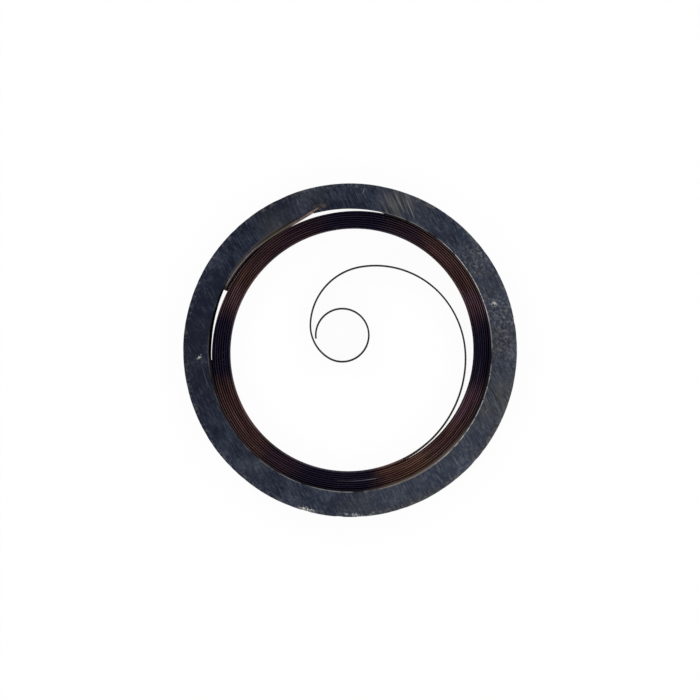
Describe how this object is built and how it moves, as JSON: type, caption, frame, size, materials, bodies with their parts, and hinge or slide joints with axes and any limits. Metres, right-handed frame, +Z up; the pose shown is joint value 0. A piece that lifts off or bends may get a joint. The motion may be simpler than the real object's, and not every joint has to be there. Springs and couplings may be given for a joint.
{
  "type": "watch mainspring in retaining ring",
  "caption": "Flat steel retaining ring with a watch mainspring wound inside its bore, a short bridle strip, and a free inner coil that curls to an eye for the barrel arbor.",
  "frame": {"origin": "centre of the retaining ring, on its underside", "axes": "+Z up along the ring's and the eye's axis; the picture looks down -Z with +X to its right and +Y to its top"},
  "size_m": [0.016, 0.016, 0.0014],
  "materials": {
    "ring_steel": "dark slate-blue steel, flat ground with fine parallel scratches, worn bright at the edges",
    "spring_steel": "tempered blade, near black to warm dark brown, satin",
    "bridle_steel": "plain grey steel strip, tan stains"
  },
  "bodies": {
    "root": {"retaining_ring": "ring_steel", "mainspring": "spring_steel", "bridle": "bridle_steel"}
  },
  "joints": []
}
